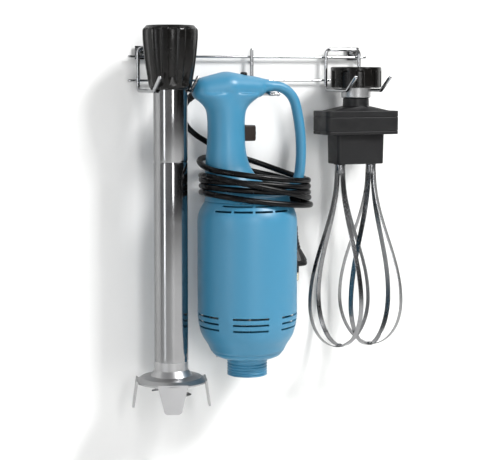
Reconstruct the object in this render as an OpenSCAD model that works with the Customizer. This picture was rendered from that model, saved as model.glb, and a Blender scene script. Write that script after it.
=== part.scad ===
// Immersion blender kit on its wire wall rack: motor unit, blending shaft and twin whisk.
// Wall plane at Y = 0, the tools stand out towards -Y, +Z is up.
// The origin is midway between the rack's two screw holes, on the wall plane.

/* [Rack] */
// Length of the two cross rods
rod_l = 315; // [300:1:340]
// Thickness of the cross rods
rod_d = 3; // [2.5:0.1:3.4]
// Thickness of the bent hanger wire
wire_d = 4.5; // [4:0.1:4.8]
// Distance between the two cross rods
rod_gap = 29; // [26:1:32]
// Distance of each prong pair from the middle
bracket_x = 123; // [120:1:126]
// Centre distance of the two prongs of a pair
prong_gap = 46; // [46:0.1:47]
// Distance between the two screw holes
screw_gap = 280; // [279:1:282]
// Radius of the screw holes
screw_r = 2.5; // [2:0.1:2.8]

/* [Motor unit] */
// Radius of the motor casing
body_r = 60; // [58:0.5:61]
// Radius of the grip
grip_r = 23.8; // [22:0.1:24.5]
// Radius of the coupling neck
neck_r = 24.3; // [24:0.1:24.4]
// Travel of the trigger
trigger_travel = 5; // [3:0.5:6]

/* [Blending shaft] */
// Radius of the steel tube
tube_r = 20.1; // [19:0.1:20.3]
// Largest radius of the coupling knob
knob_r = 31.7; // [31:0.1:32.5]
// Number of grooves around the knob
knob_grooves = 10; // [6:1:16]
// Radius of the blade guard's dome
guard_r = 42.7; // [40:0.1:44]

/* [Whisk tool] */
// Distance between the two whisk axes
whisk_gap = 42; // [42:0.1:42.2]
// Largest radius of a whisk
whisk_r = 45; // [42:0.5:46]
// Radius of the whisk coupling nut
whisk_nut_r = 31.4; // [31:0.1:32]

/* [Hidden] */
$fn = 64;

// Wall offsets: lug, then rod, then wire, each lying against the one behind it
lug_t = 2;
wire_r = wire_d / 2;
rod_y = -(lug_t + rod_d / 2);
wire_y = -(lug_t + rod_d + wire_r);
rod_z = -5.5;
prong_z = -46.7;
prong_y = -72;
tip_y = -96;
tip_z = -31;
bend_r = 7;
hook_z = -50.6;
hook_y = -71.5;
hook_side = 11;

// Motor unit places
motor_x = -26.5;
motor_y = -62;
grip_x = -53.5;
seam_z = -178;
seam_r = 49;
casing_bottom = -359.5;
neck_top = -368;
neck_bottom = -389.3;
wall_t = 2.5;
loop_r = 5.8;
head_blobs = [[-76, -46, 20], [-53, -47, 23.3], [7, -40.7, 7]];
// Loop handle as three tangent arcs: centre x, centre z, radius, start and end angle
loop_steps = 6;
loop_arcs = [[6, -71, 30, 15, 88], [-172.7, -118.9, 215, -7, 15], [7, -141, 34, -86, -7]];
trigger_z = -97;
trigger_w = 18;
trigger_h = 20;

// Blending shaft places
shaft_y = -62.5;
knob_top = 30;
knob_bottom = -45.1;
guard_z = -383;
leg_bottom = -421;
leg_turn = 15;

// Whisk tool places
whisk_y = -48;
nut_bottom = -43.6;
nut_top = -17.9;
box_top = -65;
box_mid = -97;
box_bottom = -137.7;
whisk_bottom = -367;
gear_teeth = 37;
gear_module = whisk_gap / gear_teeth;
wheel_teeth = 28;
pinion_teeth = 9;
wheel_module = whisk_gap / (wheel_teeth + pinion_teeth);

// Cord: radius, and the hand-chosen route points
cord_r = 3.5;
lead_points = [[-88.5, -27.5, -56.5], [-91, -20, -64], [-92, -14.5, -73], [-90, -11.5, -82], [-84.5, -10.8, -91.5],
    [-74, -11, -101], [-62, -11, -108.5], [-51, -11, -115], [-40, -11, -125], [-30, -11, -138], [-22, -11, -150]];
tail_points = [[35, -27, -174], [40, -26, -186], [46, -26, -197], [49, -27, -208], [49, -27, -218]];
gland_base = [-78, -50, -40];
winding_x = -16.5;
winding_z = -159.5;
winding_h = 35;
winding_tilt = 5;
winding_half = 15;
winding_out = 55;

// Small vector helpers
function unit(v) = v / norm(v);
function bend_angle(u, v) = acos(max(-1, min(1, u * v)));

// Straight round bar between two points
module bar(a, b, r) {
    d = b - a;
    translate(a) rotate([0, acos(d[2] / norm(d)), atan2(d[1], d[0])]) cylinder(r = r, h = norm(d));
}

// Round bend that joins direction u to direction v at the corner p
module bend(p, u, v, rb, r) {
    a = bend_angle(u, v);
    t = rb * tan(a / 2);
    n = unit(v - u * (u * v));
    w = cross(-n, u);
    c = p - u * t + n * rb;
    multmatrix([[-n[0], u[0], w[0], c[0]], [-n[1], u[1], w[1], c[1]], [-n[2], u[2], w[2], c[2]], [0, 0, 0, 1]])
        rotate_extrude(angle = a) translate([rb, 0]) circle(r = r);
}

// Wire bent along a list of corner points: round bends at square corners, ball corners and ends elsewhere
module wire(pts, r, rb) {
    last = len(pts) - 1;
    dirs = [for (i = [0:last - 1]) unit(pts[i + 1] - pts[i])];
    square_corner = [for (i = [0:last]) i > 0 && i < last && abs(dirs[i - 1] * dirs[min(i, last - 1)]) < 0.001];
    cuts = [for (i = [0:last]) square_corner[i] ? rb : 0];
    for (i = [0:last - 1]) bar(pts[i] + dirs[i] * cuts[i], pts[i + 1] - dirs[i] * cuts[i + 1], r);
    for (i = [0:last]) {
        if (square_corner[i]) bend(pts[i], dirs[i - 1], dirs[i], rb, r);
        else translate(pts[i]) sphere(r = r);
    }
}

// Ring between two radii
module ring(ro, ri, h) {
    difference() {
        cylinder(r = ro, h = h);
        translate([0, 0, -1]) cylinder(r = ri, h = h + 2);
    }
}

// Free cord as one closed tube swept along smoothed route points
function curve_at(p, i, t) = let (n = len(p) - 1, a = p[max(i - 1, 0)], b = p[i], c = p[i + 1],
    d = p[min(i + 2, n)]) 0.5 * (2 * b + (c - a) * t + (2 * a - 5 * b + 4 * c - d) * t * t
    + (3 * b - a - 3 * c + d) * t * t * t);
function curve(p, steps) = concat([for (i = [0:len(p) - 2], k = [0:steps - 1]) curve_at(p, i, k / steps)],
    [p[len(p) - 1]]);
module cord(p, r) {
    path = curve(p, 2);
    n = len(path);
    sides = 10;
    rings = [for (i = [0:n - 1]) let (
        d = unit(path[min(i + 1, n - 1)] - path[max(i - 1, 0)]),
        x = unit(cross([0, 1, 0.2], d)),
        y = cross(d, x)) for (k = [0:sides - 1]) path[i] + r * (x * cos(360 * k / sides) + y * sin(360 * k / sides))];
    quads = [for (i = [0:n - 2], k = [0:sides - 1]) [i * sides + k, (i + 1) * sides + k,
        (i + 1) * sides + (k + 1) % sides, i * sides + (k + 1) % sides]];
    first = [for (k = [0:sides - 1]) k];
    end = [for (k = [sides - 1:-1:0]) (n - 1) * sides + k];
    polyhedron(points = rings, faces = concat(quads, [first], [end]));
}

// ---- Wall rack ----
module rod(z) color("silver") translate([-rod_l / 2, rod_y, z]) rotate([0, 90, 0]) cylinder(d = rod_d, h = rod_l);
module rod_upper() rod(rod_z);
module rod_lower() rod(rod_z - rod_gap);
module bracket(x) {
    g = prong_gap / 2;
    half = [[g, tip_y, tip_z], [g, prong_y, prong_z], [g, wire_y, prong_z], [g, wire_y, 4.4]];
    left = [for (p = half) [x - p[0], p[1], p[2]]];
    right = [for (i = [3:-1:0]) [x + half[i][0], half[i][1], half[i][2]]];
    color("silver") wire(concat(left, right), wire_r, bend_r);
}
module bracket_left() bracket(-bracket_x);
module bracket_right() bracket(bracket_x);
module centre_hook() color("silver") wire([[0, wire_y, 3], [0, wire_y, hook_z], [0, hook_y, hook_z],
    [hook_side, hook_y, hook_z]], wire_r, 3.4);
module screw_lug(x) color("silver") difference() {
    translate([x - 8, -lug_t, -9]) cube([16, lug_t, 16]);
    translate([x, 1, 0]) rotate([90, 0, 0]) cylinder(r = screw_r, h = lug_t + 2);
}
module screw_lug_left() screw_lug(-screw_gap / 2);
module screw_lug_right() screw_lug(screw_gap / 2);

// ---- Motor unit housing ----
module at_motor() translate([motor_x, motor_y, 0]) children();
module head_form(inset) hull() for (b = head_blobs) translate([b[0], motor_y, b[1]])
    sphere(r = max(b[2] - inset, 2), $fn = 32);
module grip_form(inset) translate([grip_x, motor_y, -126]) cylinder(r = grip_r - inset, h = 76);
module shoulder_form(inset) hull() {
    translate([grip_x, motor_y, -124]) cylinder(r = grip_r - inset, h = 2, $fn = 40);
    shoulder_disc(inset, 1);
}
module shoulder_disc(inset, h) at_motor() for (s = [-1, 1]) translate([6.5 * s, 0, -172])
    cylinder(r = 43.5 - inset, h = h, $fn = 40);
function loop_point(a, t) = let (angle = a[3] + (a[4] - a[3]) * t)
    [a[0] + a[2] * cos(angle), motor_y, a[1] + a[2] * sin(angle)];
module loop_form(inset) for (a = loop_arcs, i = [0:loop_steps - 1]) hull() for (k = [i, i + 1])
    translate(loop_point(a, k / loop_steps)) sphere(r = loop_r - inset, $fn = 24);
module shoulder_cap() hull() {
    shoulder_disc(0, 0.2);
    at_motor() translate([0, 0, seam_z]) cylinder(r = seam_r, h = 0.2, $fn = 60);
}
module handle_shell() {
    difference() {
        union() {
            head_form(0);
            grip_form(0);
            shoulder_form(0);
            shoulder_cap();
            loop_form(0);
        }
        head_form(wall_t);
        translate([grip_x, motor_y, -127]) cylinder(r = grip_r - wall_t, h = 70);
        shoulder_form(wall_t + 0.5);
        at_motor() translate([0, 0, seam_z - 1]) cylinder(r = 41, h = 8);
        // hanging groove for the centre hook
        translate([0, hook_y - 8, hook_z]) rotate([-90, 0, 0]) cylinder(r = wire_r + 0.35, h = 60);
        // trigger window
        translate([grip_x + 10, motor_y - trigger_w / 2 - 0.3, trigger_z - trigger_h / 2 - 0.3])
            cube([20, trigger_w + 0.6, trigger_h + 0.6]);
        // safety button hole
        translate([-31, motor_y, -40]) cylinder(r = 4.5, h = 30);
        // cord gland hole
        bar(gland_base, gland_base + 40 * unit(lead_points[0] - gland_base), 6.3);
        // the loop's root stops at the seam
        translate([-20, motor_y - 20, seam_z - 40]) cube([80, 40, 40]);
    }
}
module handle_front() color("steelblue") intersection() {
    handle_shell();
    translate([-150, motor_y - 80, -200]) cube([250, 80, 220]);
}
module handle_rear() color("steelblue") intersection() {
    handle_shell();
    translate([-150, motor_y, -200]) cube([250, 80, 220]);
}
casing_outer = [[seam_r, seam_z], [53, -182.5], [57, -189], [body_r, -198], [body_r, -317], [58.8, -325],
    [56, -337.5], [50.5, -347], [44, casing_bottom]];
module motor_casing() color("steelblue") difference() {
    at_motor() rotate_extrude() polygon(concat(casing_outer, [[0, casing_bottom], [0, seam_z]]));
    at_motor() rotate_extrude() polygon([[0, seam_z + 1], [44.5, seam_z + 1], [46, seam_z], [50, -183.5],
        [body_r - wall_t, -198], [body_r - wall_t, -317], [53, -337], [42, -355], [0, -355]]);
    at_motor() translate([0, 0, casing_bottom - 1]) cylinder(r = 20, h = 10);
    // air slots: two rows above at the front and the back, three rows all round below
    for (side = [-102, 78]) {
        casing_slots(-181.5, 2, 40, 44, side);
        casing_slots(-187.3, 4, 23, 26, side);
    }
    for (z = [-316, -322, -328]) casing_slots(z, 6, 42, 60, 44);
    for (s = [-1, 1]) at_motor() translate([s * 38, 0, casing_bottom - 1]) cylinder(r = 2.1, h = 10);
}
// A row of slots at height z: how many, the arc of each, their pitch and the angle of the row's middle
module casing_slots(z, count, arc, pitch, middle) at_motor() for (k = [0:count - 1])
    rotate([0, 0, middle - ((count - 1) * pitch + arc) / 2 + k * pitch])
        translate([0, 0, z - 1.2]) rotate_extrude(angle = arc) translate([46, 0]) square([17, 2.4]);
module casing_screw(s) color("silver") at_motor() {
    translate([s * 38, 0, casing_bottom - 8.3 + 2]) cylinder(r = 2, h = 14);
}
module casing_screw_left() casing_screw(-1);
module casing_screw_right() casing_screw(1);
module coupling_neck() color("steelblue") difference() {
    at_motor() rotate_extrude() polygon([[11.2, casing_bottom], [42.5, casing_bottom], [42, -362], [30, neck_top],
        [neck_r, neck_top - 0.5], [neck_r, -372], for (k = [0:4]) each [[neck_r, -372.5 - 3.3 * k],
        [neck_r - 1.2, -373.5 - 3.3 * k], [neck_r - 1.2, -374.8 - 3.3 * k], [neck_r, -375.8 - 3.3 * k]],
        [neck_r - 0.6, neck_bottom], [18, neck_bottom], [18, -374], [11.2, -374]]);
    for (s = [-1, 1]) at_motor() translate([s * 38, 0, -366]) cylinder(r = 2.1, h = 8);
}

// ---- Motor and electrics ----
module stator_core() color("dimgray") at_motor() translate([0, 0, -285]) difference() {
    union() {
        cylinder(r = 42, h = 55);
        for (k = [0:3]) rotate([0, 0, 45 + 90 * k]) translate([38, -7, 0]) cube([18.9, 14, 55]);
    }
    translate([0, 0, -1]) cylinder(r = 24.6, h = 57);
    for (s = [-1, 1]) translate([s * 30 - 5, -12, -1]) cube([10, 24, 57]);
}
module stator_windings() color("peru") at_motor() for (s = [-1, 1]) translate([s * 30, 0, 0]) {
    translate([-4.8, -11.8, -290]) cube([9.6, 23.6, 65]);
    translate([-5.5, -20, -230]) cube([11, 40, 9]);
    translate([-5.5, -20, -294]) cube([11, 40, 9]);
}
module bearing_bridge() color("gainsboro") at_motor() difference() {
    union() {
        translate([0, 0, -212]) cylinder(r = 16, h = 14);
        translate([-55.5, -9, -204]) cube([111, 18, 6]);
    }
    translate([0, 0, -213]) cylinder(r = 11, h = 9);
    translate([0, 0, -220]) cylinder(r = 6, h = 30);
}
module bearing_top() color("silver") at_motor() translate([0, 0, -211]) ring(11, 5.05, 7);
module bearing_bottom() color("silver") at_motor() translate([0, 0, -370]) ring(11.2, 5.05, 9);
module brush(s) color("saddlebrown") at_motor() translate([s * 35 - 22.4, -4, -220.6]) cube([44.8, 8, 6.6]);
module brush_left() brush(-1);
module brush_right() brush(1);
module rotor_shaft() color("silver") at_motor() translate([0, 0, -379]) cylinder(r = 5, h = 175);
module armature() color("dimgray") at_motor() translate([0, 0, -285]) difference() {
    ring(24, 5, 55);
    for (k = [0:11]) rotate([0, 0, 30 * k]) translate([20, -1.2, -1]) cube([6, 2.4, 57]);
}
module commutator() color("peru") at_motor() translate([0, 0, -226]) ring(12, 5, 12);
module cooling_fan() color("ivory") at_motor() translate([0, 0, -322]) {
    ring(46, 5, 2);
    ring(11, 5, 14);
    for (k = [0:8]) rotate([0, 0, 40 * k]) translate([10.5, -1, 1.5]) rotate([0, 0, 18]) cube([33, 2, 12]);
}
module drive_tongue() color("gainsboro") at_motor() translate([0, 0, -387]) difference() {
    cylinder(r = 9, h = 13, $fn = 6);
    translate([0, 0, 8]) cylinder(r = 5, h = 6);
}
module switch_box() color("black") translate([-65, motor_y - 8, -108]) cube([13, 16, 22]);
module control_board() color("darkgreen") translate([-72, motor_y - 12, -60]) cube([26, 24, 2]);
module trigger_spring() color("silver") translate([-51.9, motor_y, trigger_z]) rotate([0, 90, 0]) ring(4, 3, 6.6);
module trigger() color("#2a1c18") translate([0, motor_y, trigger_z]) {
    hull() for (s = [-1, 1]) {
        translate([-20.5, s * (trigger_w / 2 - 3), 0]) cylinder(r = 3, h = trigger_h, center = true, $fn = 32);
        translate([-35, s * (trigger_w / 2 - 3), 0]) cylinder(r = 3, h = trigger_h, center = true, $fn = 32);
    }
    difference() {
        translate([-45, -trigger_w / 2 - 3, -trigger_h / 2 - 3]) cube([7, trigger_w + 6, trigger_h + 6]);
        translate([-46, 0, 0]) rotate([0, 90, 0]) cylinder(r = 4.6, h = 7);
    }
}
module safety_button() color("black") translate([-31, motor_y, -34]) {
    cylinder(r = 4.2, h = 9.8);
    translate([0, 0, -2]) cylinder(r = 6.5, h = 2.1);
}

// ---- Cord ----
module cord_gland() color("black") difference() {
    d = unit(lead_points[0] - gland_base);
    l = norm(lead_points[0] - gland_base);
    turn = [0, acos(d[2]), atan2(d[1], d[0])];
    translate(gland_base) rotate(turn) union() {
        cylinder(r = 6, h = 8);
        translate([0, 0, 8]) cylinder(r1 = 6, r2 = 4.6, h = l - 8);
    }
    translate(gland_base) rotate(turn) translate([0, 0, -1]) cylinder(r = 1.6, h = 6);
}
module cord_lead() color("#151515") cord(lead_points, cord_r);
module cord_tail() color("#151515") cord(tail_points, cord_r);
module winding_outline(r) {
    for (s = [-1, 1]) translate([s * winding_half, 0]) circle(r = r);
    square([2 * winding_half, 2 * r], center = true);
}
module cord_winding() color("#151515") translate([winding_x, motor_y, winding_z]) rotate([0, winding_tilt, 0])
    translate([0, 0, -winding_h / 2]) linear_extrude(height = winding_h) difference() {
        winding_outline(winding_out);
        winding_outline(winding_out - 2 * cord_r);
    }
plug_top = tail_points[4];
module plug_body() color("#151515") translate(plug_top) rotate([180, 0, 0]) rotate_extrude()
    polygon([[0, 0], [4.5, 0], [6, 14], [9, 27], [14, 34], [16.5, 38], [16.5, 46], [0, 46]]);
module plug_pin(s) color("gold") translate([plug_top[0], plug_top[1] + s * 9.5, plug_top[2] - 46 - 19])
    cylinder(r = 2.4, h = 19);
module plug_pin_front() plug_pin(-1);
module plug_pin_rear() plug_pin(1);

// ---- Blending shaft ----
module at_shaft() translate([-bracket_x, shaft_y, 0]) children();
module shaft_knob() color("#1c1a18") at_shaft() difference() {
    rotate_extrude() polygon([[20.9, knob_bottom], [25.2, knob_bottom + 4.3], [26, -30], [28.5, -10],
        [knob_r, 13], [knob_r, 23], [30.4, 27.5], [28, knob_top], [25.1, knob_top], [25.1, 4], [20.45, 4],
        [20.45, knob_bottom]]);
    for (k = [0:knob_grooves - 1]) rotate([0, 0, 360 * k / knob_grooves]) {
        translate([25.9, 0, -40]) rotate([0, 7, 0]) cylinder(r = 1.6, h = 58);
    }
}
module shaft_tube() color("silver") at_shaft() translate([0, 0, -366]) ring(tube_r, tube_r - 1.2, 368);
module coupling_seat() color("gainsboro") at_shaft() difference() {
    union() {
        translate([0, 0, 2]) cylinder(r = tube_r, h = 3);
        translate([0, 0, 4.3]) cylinder(r = 24, h = 4.2);
        translate([0, 0, -24]) cylinder(r = tube_r - 1.2, h = 26);
        translate([0, 0, 8]) cylinder(r = 17.5, h = 8);
    }
    translate([0, 0, 2]) cylinder(r = 12.5, h = 20);
    translate([0, 0, -25]) cylinder(r = 4.05, h = 30);
}
module middle_bearing() color("ivory") at_shaft() translate([0, 0, -136]) ring(tube_r - 1.2, 4.05, 12);
module shaft_seal() color("#303030") at_shaft() translate([0, 0, -366]) ring(12, 4.05, 8);
module blade_guard() color("silver") at_shaft() difference() {
    union() {
        rotate_extrude() polygon([[4.3, -380], [12, -380], [12, -366], [12, -358], [tube_r - 1.2, -358],
            [tube_r - 1.2, -366], [tube_r, -366], [tube_r, -376], [24.5, guard_z], [36, guard_z - 2],
            [guard_r, -389], [guard_r - 1, -391], [guard_r - 2.5, -390], [35, -385.5], [4.3, -385.5]]);
        for (k = [0:3]) rotate([0, 0, 90 * k - leg_turn]) translate([0, -guard_r + 2.2, -387.5])
            rotate([-8.5, 0, 0]) guard_leg();
    }
    translate([0, 0, -400]) cylinder(r = 4.3, h = 60);
}
module guard_leg() rotate([90, 0, 0]) translate([0, 0, -1.2]) linear_extrude(height = 2.4) {
    polygon([[-18, 0], [18, 0], [11, -27.5], [-11, -27.5]]);
    translate([-5.8, -33.4]) square([11.6, 7]);
    for (s = [-1, 1]) translate([s * 5.8, -28.4]) circle(r = 5);
}
module drive_shaft() color("silver") at_shaft() translate([0, 0, -412]) cylinder(r = 4, h = 418);
module drive_socket() color("gainsboro") at_shaft() translate([0, 0, 6]) difference() {
    cylinder(r = 12, h = 12);
    translate([0, 0, 3]) cylinder(r = 9.3, h = 10, $fn = 6);
}
module blade() color("silver") at_shaft() translate([0, 0, -402]) difference() {
    union() {
        cylinder(r = 7, h = 3);
        for (k = [0:1]) rotate([0, 0, 35 + 180 * k]) {
            translate([4, -5, 0]) rotate([0, -12, 0]) cube([22, 10, 1.8]);
            rotate([0, 0, 90]) translate([4, -5, 1.2]) rotate([0, 12, 0]) cube([22, 10, 1.8]);
        }
    }
    translate([0, 0, -6]) cylinder(r = 4, h = 14);
}
module blade_nut() color("silver") at_shaft() translate([0, 0, -409]) difference() {
    cylinder(r = 6.5, h = 7, $fn = 6);
    translate([0, 0, -1]) cylinder(r = 4, h = 9);
}

// ---- Whisk tool ----
module at_whisk() translate([bracket_x, whisk_y, 0]) children();
module whisk_nut() color("#1c1a18") at_whisk() difference() {
    rotate_extrude() polygon([[18.6, nut_bottom], [30, nut_bottom], [whisk_nut_r, nut_bottom + 1.5],
        [whisk_nut_r, nut_top - 1.5], [30, nut_top], [25.1, nut_top], [25.1, -38.3], [18.6, -38.3]]);
    for (k = [0:9]) rotate([0, 0, 36 * k + 2]) translate([29.2, -4.2, nut_bottom - 1]) cube([4, 8.4, 21.5]);
}
module input_collar() color("silver") at_whisk() rotate_extrude() polygon([[3.55, -56], [18.2, -56], [18.2, -38],
    [24, -38], [24, -34], [13, -34], [13, -37], [3.55, -37]]);
module box_form(w, d, r, h) linear_extrude(height = h) {
    for (x = [-1, 1], y = [-1, 1]) translate([x * (w / 2 - r), y * (d / 2 - r)]) circle(r = r);
    square([w - 2 * r, d], center = true);
    square([w, d - 2 * r], center = true);
}
module gearbox_cover() color("#2c2c2e") at_whisk() difference() {
    union() {
        translate([0, 0, box_mid]) box_form(98, 48, 8, 22);
        translate([0, 0, -75]) box_form(88, 44, 8, 5);
        translate([0, 0, -70]) box_form(74, 40, 8, 5);
        translate([0, 0, -65]) cylinder(r = 16, h = 9);
    }
    translate([0, 0, box_mid - 1]) box_form(92, 44.8, 6, 20.5);
    translate([0, 0, -78]) box_form(72, 36, 6, 6);
    translate([0, 0, -80]) cylinder(r = 4.3, h = 30);
}
module gearbox_base() color("#2c2c2e") at_whisk() difference() {
    union() {
        translate([0, 0, -101]) box_form(98, 48, 8, 4);
        translate([0, 0, box_bottom]) box_form(62, 34, 6, -101 - box_bottom);
    }
    for (s = [-1, 1]) translate([s * whisk_gap / 2, 0, box_bottom - 1]) cylinder(r = 5.05, h = 50);
}
module gear(teeth, m, h, start, bore) {
    rp = teeth * m / 2;
    difference() {
        rotate([0, 0, start]) union() {
            cylinder(r = rp - 1.05 * m, h = h);
            for (k = [0:teeth - 1]) rotate([0, 0, 360 * k / teeth]) linear_extrude(height = h)
                polygon([[rp - 1.3 * m, -0.84 * m], [rp, -0.66 * m], [rp + 0.8 * m, -0.36 * m],
                    [rp + 0.8 * m, 0.36 * m], [rp, 0.66 * m], [rp - 1.3 * m, 0.84 * m]]);
        }
        if (bore > 0) translate([0, 0, -1]) cylinder(r = bore, h = h + 2);
    }
}
module input_pinion() color("gainsboro") at_whisk() {
    translate([0, 0, -84]) gear(pinion_teeth, wheel_module, 8, 0, 0);
    translate([0, 0, -83]) cylinder(r = 3.5, h = 50);
    translate([0, 0, -36.5]) difference() {
        cylinder(r = 11, h = 12);
        translate([0, 0, 5]) cylinder(r = 9.3, h = 10, $fn = 6);
    }
}
module whisk_gear(s, start) color("ivory") at_whisk() translate([s * whisk_gap / 2, 0, -96])
    gear(gear_teeth, gear_module, 9, start, 5);
module gear_left() whisk_gear(-1, 0);
module gear_right() whisk_gear(1, 0);
module reduction_wheel() color("ivory") at_whisk() translate([-whisk_gap / 2, 0, -87])
    gear(wheel_teeth, wheel_module, 8.5, 0, 5);

// Radius of a whisk loop at a share t of its height, 0 at the top
function whisk_profile(t) = whisk_r * (0.12 + 0.88 * pow(sin(90 * min(t / 0.74, 1)), 2.1))
    * (t < 0.74 ? 1 : sqrt(max(1 - pow((t - 0.74) / 0.26, 2), 0)));
whisk_strip = 7;
whisk_strip_t = 1.4;
strip_steps = 22;
module whisk_loop() {
    h = box_bottom - 8 - whisk_bottom;
    outer = [for (i = [0:strip_steps]) let (t = i / strip_steps) [whisk_profile(t), -h * t]];
    inner = [for (p = outer) [max(p[0] - whisk_strip_t, 0), min(p[1] + whisk_strip_t * 0.9
        * pow(max(-p[1] / h, 0), 8), 0)]];
    ring_points = concat([for (p = outer) p], [for (i = [strip_steps - 1:-1:0]) [-outer[i][0], outer[i][1]]],
        [for (i = [0:strip_steps - 1]) [-inner[i][0], inner[i][1]]], [for (i = [strip_steps:-1:0]) inner[i]]);
    rotate([90, 0, 0]) translate([0, 0, -whisk_strip / 2]) linear_extrude(height = whisk_strip)
        polygon(ring_points);
}
module whisk(s, turn) color("silver") at_whisk() translate([s * whisk_gap / 2, 0, 0]) {
    translate([0, 0, box_bottom - 8]) {
        for (k = [0:1]) rotate([0, 0, turn + 90 * k]) whisk_loop();
        translate([0, 0, -4]) cylinder(r = 6.5, h = 11.7);
    }
    translate([0, 0, box_bottom - 1]) cylinder(r = 5, h = box_top - box_bottom - 8);
    translate([0, 0, whisk_bottom - 0.8]) cylinder(r = 4, h = 5);
}
module whisk_left() whisk(-1, 12);
module whisk_right() whisk(1, 33);

rod_upper();
rod_lower();
bracket_left();
bracket_right();
centre_hook();
screw_lug_left();
screw_lug_right();
handle_front();
handle_rear();
motor_casing();
coupling_neck();
stator_core();
stator_windings();
bearing_bridge();
bearing_top();
bearing_bottom();
brush_left();
brush_right();
switch_box();
control_board();
trigger_spring();
casing_screw_left();
casing_screw_right();
cord_gland();
cord_lead();
cord_winding();
cord_tail();
plug_body();
plug_pin_front();
plug_pin_rear();
armature();
rotor_shaft();
commutator();
cooling_fan();
drive_tongue();
trigger();
safety_button();
shaft_knob();
shaft_tube();
coupling_seat();
middle_bearing();
shaft_seal();
blade_guard();
drive_shaft();
drive_socket();
blade();
blade_nut();
whisk_nut();
input_collar();
gearbox_cover();
gearbox_base();
input_pinion();
reduction_wheel();
gear_left();
gear_right();
whisk_left();
whisk_right();
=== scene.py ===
import math

import bmesh
import bpy
from mathutils import Matrix, Vector


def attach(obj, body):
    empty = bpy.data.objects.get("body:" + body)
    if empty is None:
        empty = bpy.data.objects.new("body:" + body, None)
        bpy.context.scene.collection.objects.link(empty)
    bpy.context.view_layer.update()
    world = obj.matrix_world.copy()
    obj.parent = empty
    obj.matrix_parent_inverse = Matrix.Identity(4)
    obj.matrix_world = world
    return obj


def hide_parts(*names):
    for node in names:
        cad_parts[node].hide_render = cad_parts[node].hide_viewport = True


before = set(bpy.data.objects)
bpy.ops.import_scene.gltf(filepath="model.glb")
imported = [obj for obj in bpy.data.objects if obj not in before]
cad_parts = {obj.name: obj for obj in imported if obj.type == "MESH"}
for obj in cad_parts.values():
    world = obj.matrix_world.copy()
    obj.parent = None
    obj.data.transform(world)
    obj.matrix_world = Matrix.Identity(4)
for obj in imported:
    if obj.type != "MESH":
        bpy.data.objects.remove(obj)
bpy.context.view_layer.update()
MM = 0.001
TAU = 2 * math.pi

# ---- Camera ----
camera_data = bpy.data.cameras.new("camera")
camera_data.lens = 105
camera_data.sensor_width = 36
camera_data.shift_y = -0.102
camera_data.clip_start = 0.05
camera = bpy.data.objects.new("camera", camera_data)
camera.location = (-0.619, -1.6302, -0.0288)
camera.rotation_euler = (math.radians(90 - 4.3), 0, math.radians(-20.4))
bpy.context.scene.collection.objects.link(camera)
bpy.context.scene.camera = camera

# ---- Places, in millimetres, as in the CAD ----
ROD_Y = -3.5
WIRE_R = 2.25
WIRE_Y = -7.25
MOTOR = (-26.5, -62.0)
MOTOR_Y = MOTOR[1]
GRIP_X = -53.5
SEAM_Z = -178.0
SHAFT = (-123.0, -62.5)
WHISK = (123.0, -48.0)
WHISK_GAP = 42.0
TRIGGER_Z = -97
TRIGGER_HALF = 9.4
ROD_HALF, ROD_R = 156.3, 1.5
BRACKET_X, SCREW_X = 123, 140
CORD_R = 3.5


# ---- Mesh helpers ----
def link(name, mesh, material, body, nodes=()):
    ob = bpy.data.objects.new(name, mesh)
    bpy.context.scene.collection.objects.link(ob)
    mesh.materials.clear()
    mesh.materials.append(material)
    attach(ob, body)
    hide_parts(*nodes)
    return ob


def mesh_of(name, verts, faces, sharp=None):
    """A mesh from points in millimetres, smooth all over or up to an angle in degrees."""
    me = bpy.data.meshes.new(name)
    me.from_pydata([(x * MM, y * MM, z * MM) for x, y, z in verts], [], faces)
    bm = bmesh.new()
    bm.from_mesh(me)
    bmesh.ops.remove_doubles(bm, verts=bm.verts, dist=1e-6)
    bmesh.ops.recalc_face_normals(bm, faces=bm.faces)
    bm.to_mesh(me)
    bm.free()
    me.polygons.foreach_set("use_smooth", [True] * len(me.polygons))
    if sharp is not None:
        me.set_sharp_from_angle(angle=math.radians(sharp))
    return me


def joined(*parts):
    """Several (points, faces) pairs as one."""
    verts = []
    faces = []
    for v, f in parts:
        start = len(verts)
        verts += v
        faces += [tuple(i + start for i in face) for face in f]
    return verts, faces


def stitched(rows, n, capped=True):
    """Faces between rows of n points each, and over the first and last row."""
    faces = []
    for i in range(rows - 1):
        for k in range(n):
            m = (k + 1) % n
            faces.append((i * n + k, i * n + m, (i + 1) * n + m, (i + 1) * n + k))
    if capped:
        faces.append(tuple(range(n)))
        faces.append(tuple((rows - 1) * n + k for k in range(n - 1, -1, -1)))
    return faces


def lathe(profile, centre=(0, 0), segs=96, shape=None, closed=True):
    """Turn (radius, z) points about a vertical axis; shape(r, z, angle) may move the radius."""
    verts = []
    for r, z in profile:
        for k in range(segs):
            a = TAU * k / segs
            rr = shape(r, z, a) if shape else r
            verts.append((centre[0] + rr * math.cos(a), centre[1] + rr * math.sin(a), z))
    return verts, stitched(len(profile), segs, closed)


def rounded(points, radius, steps=5):
    """Round the corners of an open outline of (r, z) points."""
    out = [points[0]]
    for i in range(1, len(points) - 1):
        p = Vector(points[i])
        a = Vector(points[i - 1]) - p
        b = Vector(points[i + 1]) - p
        d = min(radius, a.length * 0.45, b.length * 0.45)
        start = p + a.normalized() * d
        end = p + b.normalized() * d
        for k in range(steps + 1):
            t = k / steps
            q = start * (1 - t) ** 2 + p * (2 * t * (1 - t)) + end * t * t
            out.append((q.x, q.y))
    out.append(points[-1])
    return out


def densified(points, step):
    """An outline of (r, z) points with a point at least every step in height."""
    out = []
    for (r0, z0), (r1, z1) in zip(points, points[1:]):
        count = max(1, int(abs(z1 - z0) / step))
        out += [(r0 + (r1 - r0) * k / count, z0 + (z1 - z0) * k / count) for k in range(count)]
    out.append(points[-1])
    return out


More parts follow.
